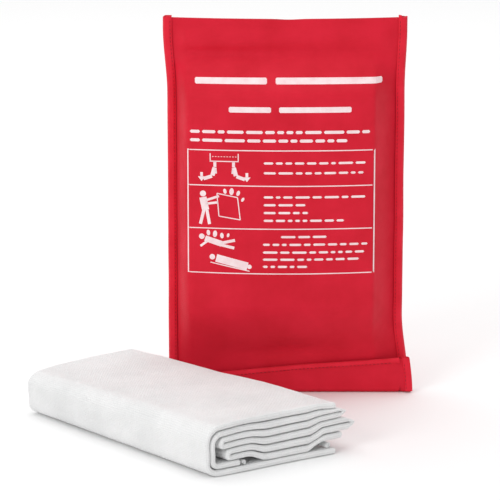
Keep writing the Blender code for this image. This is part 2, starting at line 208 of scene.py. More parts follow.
def weave_height(tree, pitch):
    """Height of a plain weave, over one and under one, with threads pitch mm apart."""
    place = add(tree, "ShaderNodeTexCoord", {}, {})
    each = 1 / (pitch * MM)
    threads = add(
        tree, "ShaderNodeVectorMath", {"operation": "MULTIPLY"}, {0: place.outputs["UV"], 1: (each,) * 3}
    )
    over = add(tree, "ShaderNodeTexChecker", {}, {"Vector": threads.outputs[0], "Scale": 1.0})
    split = add(tree, "ShaderNodeSeparateXYZ", {}, {0: threads.outputs[0]})
    ridges = []
    for axis in ("X", "Y"):
        turn = add(tree, "ShaderNodeMath", {"operation": "MULTIPLY"}, {0: split.outputs[axis], 1: math.pi})
        wave = add(tree, "ShaderNodeMath", {"operation": "SINE"}, {0: turn.outputs[0]})
        ridges.append(add(tree, "ShaderNodeMath", {"operation": "ABSOLUTE"}, {0: wave.outputs[0]}).outputs[0])
    return add(
        tree, "ShaderNodeMix", {"data_type": "FLOAT"},
        {"Factor": over.outputs["Fac"], "A": ridges[0], "B": ridges[1]},
    ).outputs["Result"]


def cloth_finish(name, light, dark, pitch, rough, sheen, depth, patches=28):
    """A woven cloth: uneven colour, threads that stand up, and hollows between them, where painted shade
    darkens the colour.
    """
    finish = bpy.data.materials.new(name)
    finish.use_nodes = True
    tree = finish.node_tree
    shader = tree.nodes["Principled BSDF"]
    height = weave_height(tree, pitch)
    place = add(tree, "ShaderNodeTexCoord", {}, {})
    cloud = add(
        tree, "ShaderNodeTexNoise", {},
        {"Vector": place.outputs["Object"], "Scale": 1 / (patches * MM), "Detail": 3.0, "Roughness": 0.6},
    )
    tone = add(
        tree, "ShaderNodeMapRange", {},
        {"Value": cloud.outputs["Fac"], "From Min": 0.3, "From Max": 0.7, "To Min": 0.0, "To Max": 0.6},
    )
    # painted shade: the colour runs to the dark tone in the hollows between threads, where the weave lies low
    painted_hollow_shade = add(
        tree, "ShaderNodeMapRange", {},
        {"Value": height, "From Min": 0.0, "From Max": 0.7, "To Min": 0.4, "To Max": 0.0},
    )
    # the random tone plus the painted shade in the hollows
    both = add(tree, "ShaderNodeMath", {"operation": "ADD"}, {0: tone.outputs[0], 1: painted_hollow_shade.outputs[0]})
    colour = add(
        tree, "ShaderNodeMix", {"data_type": "RGBA"},
        {"Factor": both.outputs[0], 6: linear(light), 7: linear(dark)},
    )
    gloss = add(
        tree, "ShaderNodeMapRange", {},
        {
            "Value": cloud.outputs["Fac"], "From Min": 0.3, "From Max": 0.7,
            "To Min": rough - 0.05, "To Max": rough + 0.06,
        },
    )
    fibre = add(
        tree, "ShaderNodeTexNoise", {},
        {"Vector": place.outputs["Object"], "Scale": 1 / (0.8 * MM), "Detail": 2.0},
    )
    rise = add(
        tree, "ShaderNodeMath", {"operation": "MULTIPLY_ADD"}, {0: fibre.outputs["Fac"], 1: FUZZ, 2: height}
    )
    bump = add(
        tree, "ShaderNodeBump", {},
        {"Height": rise.outputs[0], "Distance": depth * MM, "Strength": 0.8},
    )
    tree.links.new(colour.outputs["Result"], shader.inputs["Base Color"])
    tree.links.new(gloss.outputs[0], shader.inputs["Roughness"])
    tree.links.new(bump.outputs[0], shader.inputs["Normal"])
    shader.inputs["IOR"].default_value = 1.5
    shader.inputs["Specular IOR Level"].default_value = 0.12
    shader.inputs["Sheen Weight"].default_value = sheen
    shader.inputs["Sheen Roughness"].default_value = 0.5
    return finish


# Polyester cloth with a thin polyurethane coat: even red, a low sheen on each thread.
coated_polyester = cloth_finish("coated_polyester", "#DC2138", "#C8182A", THREAD, 0.5, 0.02, 0.08)


def flare(x, z):
    """How far the cloth spreads sideways: at both top corners and at the lower right one."""
    top = ease((z - 232) / 50)
    foot = ease((62 - z) / 62)
    return ease(x / 90) * (1.4 * top + 6.0 * foot) - 3.0 * ease(-x / 90) * top


def top_sag(x, z):
    """The unfilled top edge dips a little between its two bindings."""
    return ease((z - 255) / 35) * (1.7 * (1 - (x / 92) ** 2) + 0.5 * hill(x + 2, 9))


across = np.linspace(-PANEL_HALF, PANEL_HALF, 60)
up = np.linspace(PANEL_LOW, PANEL_HIGH, 97)
x, z = np.meshgrid(across, up)
wavy = 0.15 * ripple(x, z, 4.0, 40) * ease((PANEL_HALF - abs(x)) / 12)
back_cloth = cloth(
    "back_cloth",
    np.stack([pouch_x - x + flare(-x, z), pouch_y - BACK_MIDDLE + wavy, z - top_sag(x, z)], -1),
    np.stack([x, z], -1), CLOTH, coated_polyester,
)
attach(back_cloth, "pouch")
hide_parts("back_panel")

# --- Pouch front ---------------------------------------------------------------------
# The same cloth, sewn flat at both sides and filled out by the blanket packed inside.
# Above the pack a strip stays empty: it leans out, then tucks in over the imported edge.

FILLED_HALF = 82.7
FRONT_LOW = 4
SEAM_DEPTH = 3.1                # middle of the cloth where it lies in the side seams
LEFT_SLOPE, RIGHT_SLOPE = 11, 17        # widths over which each side rises from its seam
FULL_SIDE, FULL_CROWN = 25, 9
MOUTH_STAND, MOUTH_DEPTH = 3.6, 6.4
MOUTH_LOW, MOUTH_RISE = 18, 56
BAND_LOW, BAND_RISE = 266, 34
CREASE_X, CREASE_Z = 2, 34              # a dent where the pack ends above the flap


def front_depth(x, z):
    """How far the middle of the front cloth stands out from the bindings' back."""
    share = np.clip((FILLED_HALF - abs(x)) / np.where(x < 0, LEFT_SLOPE, RIGHT_SLOPE), 0, 1)
    side = np.where(x < 0, np.sin(math.pi / 2 * share) ** 0.85, 0.75 * share + 0.25 * ease(share))
    above_mouth = ease((z - MOUTH_LOW) / MOUTH_RISE)
    below_band = ease((BAND_LOW - z) / BAND_RISE)
    full = FULL_SIDE + FULL_CROWN * (1 - (x / FILLED_HALF) ** 2)
    flat = MOUTH_STAND + MOUTH_DEPTH * (1 - above_mouth)
    depth = side * (flat + (full - flat) * above_mouth * below_band - MOUTH_STAND)
    left = ease((45 - x) / 100)
    soft = ease((FILLED_HALF - abs(x)) / 10)
    # the empty band leans out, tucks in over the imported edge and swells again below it
    depth = depth + soft * (4.2 * (0.45 + 0.55 * left) * hill(z - 273 - 0.03 * x, 9))
    depth = depth - soft * 2.6 * left * hill(z - 262.5 + 0.02 * x, 3.6) * ease((depth - 1) / 4)
    depth = depth + soft * 1.3 * hill(z - 252 - 0.02 * x, 6) * left
    crease = hill(z - CREASE_Z - 0.05 * x, 7.5) * hill(x - CREASE_X, 30)
    depth = depth - soft * 3.6 * crease + soft * 1.6 * hill(z - 48 - 0.06 * x, 8) * hill(x - 6, 36)
    depth = depth + soft * (1.0 * ripple(x, z, 7.0, 62) + 0.32 * ripple(x, z, 3.0, 24))
    return SEAM_DEPTH + np.maximum(depth, 0)


def on_front(x, z, lift=0.0):
    """Points on the front cloth, lift mm proud of its middle."""
    step = 0.5
    slope_x = (front_depth(x + step, z) - front_depth(x - step, z)) / (2 * step)
    slope_z = (front_depth(x, z + step) - front_depth(x, z - step)) / (2 * step)
    out = lift / np.sqrt(1 + slope_x ** 2 + slope_z ** 2)
    return np.stack([
        pouch_x + x + flare(x, z) - out * slope_x,
        pouch_y - front_depth(x, z) - out,
        z - top_sag(x, z) - out * slope_z,
    ], -1)


edge = np.linspace(FILLED_HALF, PANEL_HALF, 4)[1:]
across = np.concatenate([-edge[::-1], np.linspace(-FILLED_HALF, FILLED_HALF, 130), edge])
up = np.linspace(FRONT_LOW, PANEL_HIGH, 190)
x, z = np.meshgrid(across, up)
front_cloth = cloth("front_cloth", on_front(x, z), np.stack([x, z], -1), CLOTH, coated_polyester)
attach(front_cloth, "pouch")
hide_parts("front_panel")

# --- Printing ------------------------------------------------------------------------
# White ink, screen-printed on the front panel before the pouch is sewn.
# Headline, notes and three framed picture rows are plain bars and simple figures.

INK = 0.16                      # a real film is thinner, but it has to clear the weave
LETTER_GAP = 1.7
artwork = bmesh.new()           # drawn flat in mm, x across and y up, then laid on the cloth


def stamp(x, z, half_x, half_z, turn):
    """Where one shape of the artwork goes, its half sizes and its turn in degrees."""
    turned = Matrix.Rotation(math.radians(turn), 4, "Z")
    return Matrix.Translation((x, z, 0)) @ turned @ Matrix.Diagonal((half_x, half_z, 1, 1))


def bar(x, z, length, width, turn=0.0):
    """A straight bar about its middle."""
    bmesh.ops.create_grid(
        artwork, x_segments=1, y_segments=1, size=1, matrix=stamp(x, z, length / 2, width / 2, turn)
    )


def line(x1, z1, x2, z2, width):
    """A bar from one point to another."""
    bar(
        (x1 + x2) / 2, (z1 + z2) / 2, math.hypot(x2 - x1, z2 - z1), width,
        math.degrees(math.atan2(z2 - z1, x2 - x1)),
    )


def disc(x, z, radius, tall=1.0, turn=0.0, sides=20):
    """A round or oval spot, or a triangle that points up."""
    bmesh.ops.create_circle(
        artwork, cap_ends=True, segments=sides, radius=1, matrix=stamp(x, z, radius, radius * tall, turn)
    )


words = random.Random(4)


def note(left, right, z, height):
    """One line of small print as a row of word-long bars."""
    start = left
    while start < right - 2:
        length = min(words.choice((5.0, 7.0, 9.5, 12.0, 14.5)) * height / 2.2, right - start)
        if right - start - length < 4:
            length = right - start
        bar(start + length / 2, z, length, height)
        start += length + LETTER_GAP


for left, right, z in ((-68, -14.5, 244.5), (-8, 71.5, 244.5), (-43, -11.5, 224.5), (-5.5, 48.5, 224.5)):
    bar((left + right) / 2, z, right - left, 4.2)
for right, z in ((62.5, 207.5), (45.5, 201)):
    note(-72, right, z, 2.3)
for left, right, z in (
    (-17, 59.5, 184), (-17, 58, 176.5),
    (-17, 59.5, 158), (-17, 14.5, 152), (-17, 16.5, 146), (-17, 43.5, 140),
    (-4, 30.5, 127.5),
    (-17.5, 61.5, 121.5), (-17.5, 59, 115.5), (-17.5, 55, 110), (-17.5, 16, 104.5),
):
    note(left, right, z, 1.7)
bmesh.ops.bevel(artwork, geom=artwork.verts[:], offset=0.6, segments=3, affect="VERTICES")

FRAME_LINE = 0.75
FRAME_LEFT, FRAME_RIGHT, FRAME_TOP, FRAME_LOW = -73.5, 66, 193.5, 99
ROW_LINES = (166.5, 133.5)
for z in (FRAME_TOP, *ROW_LINES, FRAME_LOW):
    bar((FRAME_LEFT + FRAME_RIGHT) / 2, z, FRAME_RIGHT - FRAME_LEFT + FRAME_LINE, FRAME_LINE)
for x in (FRAME_LEFT, FRAME_RIGHT):
    bar(x, (FRAME_TOP + FRAME_LOW) / 2, FRAME_LINE, FRAME_TOP - FRAME_LOW - FRAME_LINE)

# first row: a packet with two tapes, each pulled down and outwards
STROKE = 0.75
FLAME_WIDE, FLAME_TALL, FLAME_SIDES = 0.62, 1.6, 14
TAPES_AT = -46.5
for x1, z1, x2, z2 in ((-57, 191, -57, 185.5), (-36, 191, -36, 185.5), (-57.4, 185, -35.6, 185)):
    line(x1, z1, x2, z2, STROKE)
for k in range(9):
    bar(-55 + 2.15 * k, 188.6, 0.9, 0.6)
for side in (-1, 1):
    for x1, z1, x2, z2, width in (
        (7, 184.4, 7, 180.5, 2.2), (7.2, 180.2, 8.8, 174, 3.2), (6.4, 179.6, 6.0, 175.6, 1.1),
        (9.2, 173.6, 15.5, 171.4, 2.6), (17, 176.4, 17, 173.2, 2.0),
    ):
        line(TAPES_AT + side * x1, z1, TAPES_AT + side * x2, z2, width)
    disc(TAPES_AT + side * 17, 171.9, 3.2, 0.75, 180, 3)

# second row: a person lays the blanket over flames
disc(-62.5, 160, 2.3)
line(-62.6, 157.2, -60.5, 147.5, 5.4)
line(-61.8, 147.6, -64.5, 136.6, 2.3)
line(-59.6, 147.6, -57.6, 136.6, 2.3)
line(-61, 154.6, -50.5, 158.4, 1.8)
line(-60.4, 152.2, -51, 153.6, 1.8)
for x1, z1, x2, z2 in (
    (-52, 160.5, -36.5, 157.5), (-52, 160.5, -50.5, 143),
    (-50.5, 143, -34.5, 140.5), (-36.5, 157.5, -34.5, 140.5),
):
    line(x1, z1, x2, z2, STROKE)
for x, z, size, turn in (
    (-46, 162.2, 2.0, 12), (-41, 162.0, 2.7, -4), (-36, 160.8, 2.1, -18), (-32.6, 156, 1.7, -32),
):
    disc(x, z, size * FLAME_WIDE, FLAME_TALL, turn, FLAME_SIDES)

# third row: a person in flames lies down, and then lies wrapped in the blanket
disc(-63.5, 127, 2.1)
line(-61, 125.6, -48.5, 121.6, 4.4)
line(-48.8, 122.2, -38.5, 124.6, 2.2)
line(-48.8, 120.8, -39, 118.6, 2.2)
line(-58.5, 124, -64.5, 119.5, 1.7)
for x, z, size, turn in (
    (-58.5, 130, 2.2, 8), (-53.5, 129.2, 2.6, -6), (-48.3, 128, 2.2, 6), (-43.6, 128.4, 1.6, -12),
):
    disc(x, z, size * FLAME_WIDE, FLAME_TALL, turn, FLAME_SIDES)
disc(-55.6, 111.4, 2.1)
line(-52.6, 110.6, -29, 104.6, 6.0)
line(-57, 107.2, -27.5, 100.9, STROKE)
disc(-27.6, 104.3, 1.7)

# cut every 2 mm, so that the film can follow the swollen cloth
for normal, cuts in (((1, 0, 0), range(-76, 80, 2)), ((0, 1, 0), range(96, 254, 2))):
    for cut in cuts:
        everything = artwork.verts[:] + artwork.edges[:] + artwork.faces[:]
        place = Vector(normal) * (cut + 0.31)
        bmesh.ops.bisect_plane(artwork, geom=everything, plane_co=place, plane_no=normal)
artwork_mesh = bpy.data.meshes.new("print_film")
artwork.to_mesh(artwork_mesh)
artwork.free()
print_film = bpy.data.objects.new("print_film", artwork_mesh)
bpy.context.scene.collection.objects.link(print_film)
flat = np.array([v.co for v in artwork_mesh.vertices])
print_map = artwork_mesh.uv_layers.new(name="weave")
corners = np.array([corner.vertex_index for corner in artwork_mesh.loops])
print_map.data.foreach_set("uv", (flat[corners][:, :2] * MM).ravel())
placed = on_front(flat[:, 0], flat[:, 1], CLOTH / 2 + INK / 2) * MM
for vertex, point in zip(artwork_mesh.vertices, placed):
    vertex.co = point
bpy.ops.object.select_all(action="DESELECT")
bpy.context.view_layer.objects.active = print_film
print_film.select_set(True)
film = print_film.modifiers.new("film", "SOLIDIFY")
film.thickness = INK * MM
film.offset = 0
bpy.ops.object.modifier_apply(modifier="film")

# Solvent ink: opaque white, matt, broken up a little where the weave shows through, with painted shade in the
# weave's hollows.
screen_ink = cloth_finish("screen_ink", "#FBEDEE", "#EFC9CD", THREAD, 0.6, 0.0, 0.03, 9)
print_film.data.materials.append(screen_ink)
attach(print_film, "pouch")

# --- Mouth hem and loop tape ---------------------------------------------------------
# The front's lower edge is turned in and hemmed, because the blanket is pulled out over it.
# Outside it a strip of soft loop tape waits for the flap's hooks.

STRIP_HALF, STRIP_LOW, STRIP_HIGH = 56, 5, 12


def level_strip(name, depth, low, high, thickness, finish, wave=0.0):
    """A flat strip of cloth that faces the front, with its middle depth mm from the back."""
    x, z = np.meshgrid(np.linspace(-STRIP_HALF, STRIP_HALF, 75), np.linspace(low, high, 9))
    y = pouch_y - depth + wave * ripple(x, z, depth, 18)
    return cloth(name, np.stack([pouch_x + x, y, z], -1), np.stack([x, z], -1), thickness, finish)


# Edging cut from the same cloth on the bias: a shade brighter, because it is doubled.
doubled_edging = cloth_finish("doubled_edging", "#E6273E", "#CF1B2C", THREAD, 0.5, 0.05, 0.05, 16)
mouth_fold = level_strip("mouth_fold", 8.3, 4.2, 13, 0.7, doubled_edging, 0.1)
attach(mouth_fold, "pouch")
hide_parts("mouth_hem")

# Loop tape: nylon brushed to a dull dense pile, so no gloss and a broad sheen.
brushed_nylon = cloth_finish("brushed_nylon", "#A81E2C", "#6E0F1A", 0.6, 0.9, 0.5, 0.25, 3)
loop_tape = level_strip("loop_tape", 10.7, STRIP_LOW, STRIP_HIGH, 0.6, brushed_nylon)
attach(loop_tape, "pouch")
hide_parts("loop_strip")

# --- Side bindings -------------------------------------------------------------------
# A strip of doubled cloth folded round both panels' edges and sewn through all of them.
# It puffs up between its fold and the seam, and is cut off roughly at both ends.

BINDING_INNER, BINDING_OUTER = 83.2, 89.6
BINDING_LOW, BINDING_HIGH = 1.4, 290.2
STITCH, STITCH_STEP, THREAD_ROUND = 2.3, 3.0, 0.45


def rounded(corners, radius, step):
    """A path through the corners, each rounded off, with points about a step apart."""
    corners = [np.array(c, float) for c in corners]
    radii = radius if isinstance(radius, (list, tuple)) else [radius] * (len(corners) - 2)
    path = [corners[0]]
    for before, corner, after, r in zip(corners, corners[1:], corners[2:], radii):
        back = (before - corner) / np.linalg.norm(before - corner)
        on = (after - corner) / np.linalg.norm(after - corner)
        half = math.acos(np.clip(back @ on, -1, 1)) / 2
        away = r / math.tan(half)
        centre = corner + (back + on) / np.linalg.norm(back + on) * r / math.sin(half)
        first, last = corner + back * away - centre, corner + on * away - centre
        sweep = math.atan2(first[0] * last[1] - first[1] * last[0], first @ last)
        for k in range(9):
            turn = sweep * k / 8
            c, s = math.cos(turn), math.sin(turn)
            path.append(centre + [first[0] * c - first[1] * s, first[0] * s + first[1] * c])
    path.append(corners[-1])
    points = [path[0]]
    for start, end in zip(path, path[1:]):
        pieces = max(1, round(np.linalg.norm(end - start) / step))
        points += [start + (end - start) * k / pieces for k in range(1, pieces + 1)]
    return np.array(points)


def run_length(points):
    """Distance along a path at each of its points."""
    return np.concatenate([[0], np.cumsum(np.linalg.norm(np.diff(points, axis=0), axis=1))])


bpy.ops.object.select_all(action="DESELECT")
bpy.ops.mesh.primitive_uv_sphere_add(segments=6, ring_count=4, radius=1)
one_stitch = bpy.context.object
stitch_points = np.array([v.co for v in one_stitch.data.vertices])
stitch_faces = [tuple(face.vertices) for face in one_stitch.data.polygons]
bpy.data.objects.remove(one_stitch)

# Spun polyester thread: hard, slightly glossy, a darker red than the cloth it pulls into.
spun_thread = cloth_finish("spun_thread", "#A8182A", "#7E0F1E", 0.3, 0.45, 0.1, 0.1, 2)


def stitching(name, rows, outward, body):
    """Rows of lock stitches along paths of points in mm, standing up towards outward."""
    points, faces = [], []
    outward = np.array(outward, float)
    for row in rows:
        row = np.array(row, float)
        along = run_length(row)
        for start in np.arange(0.5, along[-1] - STITCH, STITCH_STEP):
            ends = [
                [np.interp(at, along, row[:, axis]) for axis in range(3)] for at in (start, start + STITCH)
            ]
            middle, length = np.mean(ends, axis=0), np.subtract(ends[1], ends[0])
            forward = length / np.linalg.norm(length)
            side = np.cross(outward, forward)
            side /= np.linalg.norm(side)
            axes = np.stack([forward * STITCH / 2, side * THREAD_ROUND / 2, outward * THREAD_ROUND / 2])
            faces += [[len(points) + k for k in face] for face in stitch_faces]
            points += (middle + stitch_points @ axes).tolist()
    mesh = bpy.data.meshes.new(name)
    mesh.from_pydata((np.array(points) * MM).tolist(), [], faces)
    made = bpy.data.objects.new(name, mesh)
    bpy.context.scene.collection.objects.link(made)
    for face in mesh.polygons:
        face.use_smooth = True
    mesh.materials.append(spun_thread)
    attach(made, body)
    return made


def binding_section(puff):
    """The folded strip at one height, as points (x from the pouch's middle, depth)."""
    return rounded(
        [(BINDING_INNER, 4.2), (BINDING_INNER + 2.2, 4.9 + puff), (BINDING_OUTER - 1.4, 4.6 + puff),
         (BINDING_OUTER, 2.4), (BINDING_OUTER - 1.4, 0.5), (BINDING_INNER, 0.5)],
        [1.2, 1.4, 1.3, 1.4], 1.0,
    )


front_trim = [print_film, mouth_fold, loop_tape]
heights = np.linspace(BINDING_LOW, BINDING_HIGH, 180)
for word, side in (("left", -1), ("right", 1)):
    rows, pattern = [], []
    for z in heights:
        puff = 0.25 + 0.25 * noise.noise(Vector((z / 22, side * 5, 0.3)))
        section = binding_section(puff)
        share = np.linspace(0, 1, len(section))
        x = side * section[:, 0]
        end = ease((z - 286) / 4)
        rough_cut = end * (1.5 * np.abs(2 * share - 1) ** 3 + 0.5 * np.sin(share * 11 + side))
        sway = 0.35 * noise.noise(Vector((z / 38, side * 3, 2.1))) * ease((290 - z) / 30)
        rows.append(np.stack([
            pouch_x + x + flare(x, z) + sway,
            pouch_y - section[:, 1],
            z - top_sag(x, z) + rough_cut,
        ], -1)[::side])
        pattern.append(np.stack([run_length(section), np.full(len(section), z)], -1)[::side])
    binding = cloth(f"{word}_binding", rows, pattern, 0.8, doubled_edging)
    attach(binding, "pouch")
    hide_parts(f"{word}_side_binding")
    seam = BINDING_INNER + 1.1
    front_row, back_row = [], []
    for z in np.linspace(3, 288, 120):
        x = side * seam
        front_row.append([pouch_x + x + flare(x, z), pouch_y - 5.05, z - top_sag(x, z)])
        back_row.append([pouch_x + x + flare(x, z), pouch_y - 0.05, z - top_sag(x, z)])
    stitches = stitching(f"{word}_binding_stitches", [front_row, back_row], (0, -1, 0), "pouch")
    front_trim += [binding, stitches]

# --- Hanging loops -------------------------------------------------------------------
# Two loops of woven tape on the back, over a patch that spreads their pull.
# Both feet of each loop are sewn down with a box and a cross, and hooks go behind the bow.

LOOP_APART = 110
PATCH_HALF, PATCH_LOW, PATCH_HIGH = 14, 222, 276
LOOP_HALF, LOOP_LOW, LOOP_HIGH, LOOP_FOOT = 9.8, 226, 272, 9
LOOP_BOW = 5.2

# Polyester webbing: thick ribs across its width, matt, with a hard selvage.
woven_webbing = cloth_finish("woven_webbing", "#CE2438", "#8E1220", 1.5, 0.75, 0.2, 0.22, 12)


def box_stitch(x, low, high, half, depth):
    """The corners of a sewn box and its cross, as rows of points behind the pouch."""
    at = {(i, j): [x + i * half, depth, (low, high)[j]] for i in (-1, 1) for j in (0, 1)}
    box = [at[-1, 0], at[1, 0], at[1, 1], at[-1, 1], at[-1, 0]]
    return [box, [at[-1, 0], at[1, 1]], [at[-1, 1], at[1, 0]]]


back_trim = []
for word, side in (("left", -1), ("right", 1)):
    middle = pouch_x + side * LOOP_APART / 2
    x, z = np.meshgrid(np.linspace(-PATCH_HALF, PATCH_HALF, 29), np.linspace(PATCH_LOW, PATCH_HIGH, 55))
    rim = np.minimum(PATCH_HALF - abs(x), np.minimum(z - PATCH_LOW, PATCH_HIGH - z))
    patch = cloth(
        f"{word}_loop_patch",
        np.stack([middle - x, pouch_y - 0.6 + 0.12 * hill(rim - 1.2, 0.9), z], -1),
        np.stack([x, z], -1), 0.6, doubled_edging,
    )
    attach(patch, "pouch")
    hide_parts(f"loop_patch_{word}")
    x, z = np.meshgrid(np.linspace(-LOOP_HALF, LOOP_HALF, 21), np.linspace(LOOP_LOW, LOOP_HIGH, 70))
    share = np.clip((z - LOOP_LOW - LOOP_FOOT) / (LOOP_HIGH - LOOP_LOW - 2 * LOOP_FOOT), 0, 1)
    bow = LOOP_BOW * (0.5 - 0.5 * np.cos(2 * math.pi * share)) ** 0.8
    selvage = 0.12 * hill(abs(x) - LOOP_HALF + 0.6, 0.6)
    loop = cloth(
        f"{word}_hanging_loop",
        np.stack([middle - x * (1 - 0.03 * np.sin(math.pi * share)), pouch_y + 0.75 + bow + selvage, z], -1),
        np.stack([x, z + bow], -1), 1.1, woven_webbing,
    )
    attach(loop, "pouch")
    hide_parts(f"hanging_loop_{word}")
    rows = box_stitch(middle, LOOP_LOW + 1.2, LOOP_LOW + LOOP_FOOT - 1.2, LOOP_HALF - 1.6, pouch_y + 1.35)
    rows += box_stitch(middle, LOOP_HIGH - LOOP_FOOT + 1.2, LOOP_HIGH - 1.2, LOOP_HALF - 1.6, pouch_y + 1.35)
    rim = PATCH_HALF - 1.2
    rows += box_stitch(middle, PATCH_LOW + 1.2, PATCH_HIGH - 1.2, rim, pouch_y - 0.12)[:1]
    stitches = stitching(f"{word}_loop_stitches", rows, (0, 1, 0), "pouch")
    back_trim += [patch, loop, stitches]

# --- Closing flap --------------------------------------------------------------------
# Cloth sewn to the back panel's lower edge, brought forward under the mouth and up in front.
# It was folded a little askew, so it stands higher at the right and spreads past the pouch.

FLAP_HALF = 90.7
FLAP_LEFT, FLAP_RIGHT = 13, 28.4
FLAP_FRONT = 13.1               # depth of the middle of the cloth
FLAP_LOW = 0.55                 # height of the ground strip's middle, and the tab's depth
TAB = 9                         # sewn against the back panel


def flap_top(x):
    """Height of the flap's upper edge."""
    return FLAP_LEFT + (FLAP_RIGHT - FLAP_LEFT) * (x + 92) / 184 + 0.35 * np.sin(x / 21 + 1)


def flap_belly(x, z):
    """How much the front of the flap stands out past flat."""
    share = np.clip(z / flap_top(x), 0, 1)
    ends = ease((FLAP_HALF - abs(x)) / 9)
    return 0.9 * np.sin(math.pi * share) * ends * (1 + 0.7 * noise.noise(Vector((x / 30, z / 14, 3))))


def flap_section(x):
    """The cloth's run at one x, from the tab behind the back panel to the front's upper edge."""
    tab = 0.8 + (TAB - 0.8) * float(ease((83.5 - abs(x)) / 3))
    return rounded(
        [(FLAP_LOW, tab + 0.4), (FLAP_LOW, FLAP_LOW), (FLAP_FRONT, FLAP_LOW),
         (FLAP_FRONT, flap_top(x) - 0.8)],
        [0.42, 2.6], 0.9,
    )


across = np.linspace(-FLAP_HALF, FLAP_HALF, 96)
shares = np.concatenate([np.linspace(0, 0.44, 44), np.linspace(0.44, 1, 40)[1:]])
columns, pattern = [], []
for x in across:
    section = flap_section(x)
    along = run_length(section)
    at = shares * along[-1]
    depth, z = np.interp(at, along, section[:, 0]), np.interp(at, along, section[:, 1])
    stand = np.array([flap_belly(x, h) if d > FLAP_FRONT - 0.1 else 0 for d, h in zip(depth, z)])
    columns.append(np.stack([
        pouch_x + x + flare(x, z) * ease((depth - 2) / 6), pouch_y - depth - stand, z,
    ], -1))
    pattern.append(np.stack([np.full(len(at), x), at], -1))
flap_cloth = cloth(
    "flap_cloth", np.transpose(columns, (1, 0, 2)), np.transpose(pattern, (1, 0, 2)), 0.8, coated_polyester
)
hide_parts("closing_flap")
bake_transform(flap_cloth)

tab_row = [[pouch_x + x, pouch_y - 0.05, TAB - 2.2] for x in (-79, 79)]
stitches = stitching("flap_tab_stitches", [tab_row], (0, 1, 0), "pouch")
flap_trim = [stitches]

# its upper edge is turned over twice and sewn, which makes a firm round ridge
columns, pattern = [], []
for x in np.linspace(-83.5, 84, 90):
    top = flap_top(x)
    section = rounded(
        [(FLAP_FRONT + 0.85, top - 3.4), (FLAP_FRONT + 1.5, top - 2.2), (FLAP_FRONT + 1.3, top + 0.2),
         (FLAP_FRONT - 0.7, top + 0.2), (FLAP_FRONT - 0.75, top - 2.4)],
        [0.6, 0.8, 0.7], 0.5,
    )
    z = section[:, 1]
    columns.append(np.stack([
        pouch_x + x + flare(x, z),
        pouch_y - section[:, 0] - 0.3 * noise.noise(Vector((x / 16, 0.5, 8))), z,
    ], -1))
    pattern.append(np.stack([np.full(len(z), x), run_length(section)], -1))
flap_ridge = cloth(
    "flap_ridge", np.transpose(columns, (1, 0, 2)), np.transpose(pattern, (1, 0, 2)), 0.5, doubled_edging
)
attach(flap_ridge, "flap")
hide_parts("flap_hem")

ridge_row = []
for x in np.linspace(-80, 80, 60):
    z = flap_top(x) - 2.9
    ridge_row.append([pouch_x + x + flare(x, z), pouch_y - FLAP_FRONT - 1.45, z])
stitches = stitching("flap_ridge_stitches", [ridge_row], (0, -1, 0), "flap")
flap_trim += [flap_ridge, stitches]

for word, side in (("left", -1), ("right", 1)):
    rows, pattern = [], []
    top = flap_top(side * 89)
    for z in np.linspace(1.5, top, 34):
        section = rounded(
            [(86.3, FLAP_FRONT + 0.9), (88.0, FLAP_FRONT + 1.6), (91.6, FLAP_FRONT + 1.1),
             (91.6, FLAP_FRONT - 1.1), (86.3, FLAP_FRONT - 0.9)],
            [0.9, 0.9, 0.9], 0.6,
        )
        x = side * section[:, 0]
        rows.append(np.stack([
            pouch_x + x + flare(x, z), pouch_y - section[:, 1],
            z + 0.6 * ease((z - top + 2) / 2) * np.sin(np.linspace(0, 9, len(x))),
        ], -1)[::side])
        pattern.append(np.stack([run_length(section), np.full(len(section), z)], -1)[::side])
    edging = cloth(f"flap_{word}_edging", rows, pattern, 0.6, doubled_edging)
    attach(edging, "flap")
    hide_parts(f"flap_{word}_binding")
    seam = side * 87.2
    row = [[pouch_x + seam + flare(seam, z), pouch_y - FLAP_FRONT - 1.55, z] for z in (2.5, top - 4)]
    stitches = stitching(f"flap_{word}_stitches", [row], (0, -1, 0), "flap")
    flap_trim += [edging, stitches]

# hook tape on its inner side: a woven strip with rows of short stiff hooks
HOOK_APART, HOOK_ROUND, HOOK_TALL = 1.5, 0.32, 0.26
x, z = np.meshgrid(np.linspace(-STRIP_HALF, STRIP_HALF, 75), np.linspace(STRIP_LOW, STRIP_HIGH, 9))
hook_tape = cloth(
    "hook_tape", np.stack([pouch_x - x, pouch_y - 11.95 + 0 * x, z], -1), np.stack([x, z], -1),
    0.5, brushed_nylon,
)
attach(hook_tape, "flap")
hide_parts("hook_strip")

points, faces = [], []
for x in np.arange(-STRIP_HALF + 1, STRIP_HALF, HOOK_APART):
    for z in np.arange(5.8, 11.6, HOOK_APART):
        faces += [[len(points) + k for k in face] for face in stitch_faces]
        size = np.array([HOOK_ROUND, HOOK_TALL, HOOK_ROUND])
        points += (stitch_points * size + [pouch_x + x, pouch_y - 11.7, z]).tolist()
hook_mesh = bpy.data.meshes.new("hooks")
hook_mesh.from_pydata((np.array(points) * MM).tolist(), [], faces)
hooks = bpy.data.objects.new("hooks", hook_mesh)
bpy.context.scene.collection.objects.link(hooks)
hook_mesh.materials.append(spun_thread)
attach(hooks, "flap")

# --- Blanket, inner folds ------------------------------------------------------------
# One square sheet of woven glass fibre, folded in half and in half again one way.
# That four-fold strip is then laid to and fro into flat leaves, 222 mm long and 102 wide.

joints = {joint["name"]: joint for joint in frame["joints"]}
packet_at = np.array(frame["record"]["mounts"][0]["pos_m"]) / MM
lengthways = np.array(joints["top_leaf_fold"]["axis"], float)
crossways = np.array([-lengthways[1], lengthways[0], 0])
UPWARDS = np.array([0, 0, 1])
HALF_LENGTH = 111
LAYER = 1.13                    # from one of the four layers to the next
GLASS_CLOTH = 0.72              # thickness of one layer, and of the cloth rolled tight in a hem
HEM_CLOTH = 0.55
RUN_STEP = 4.5


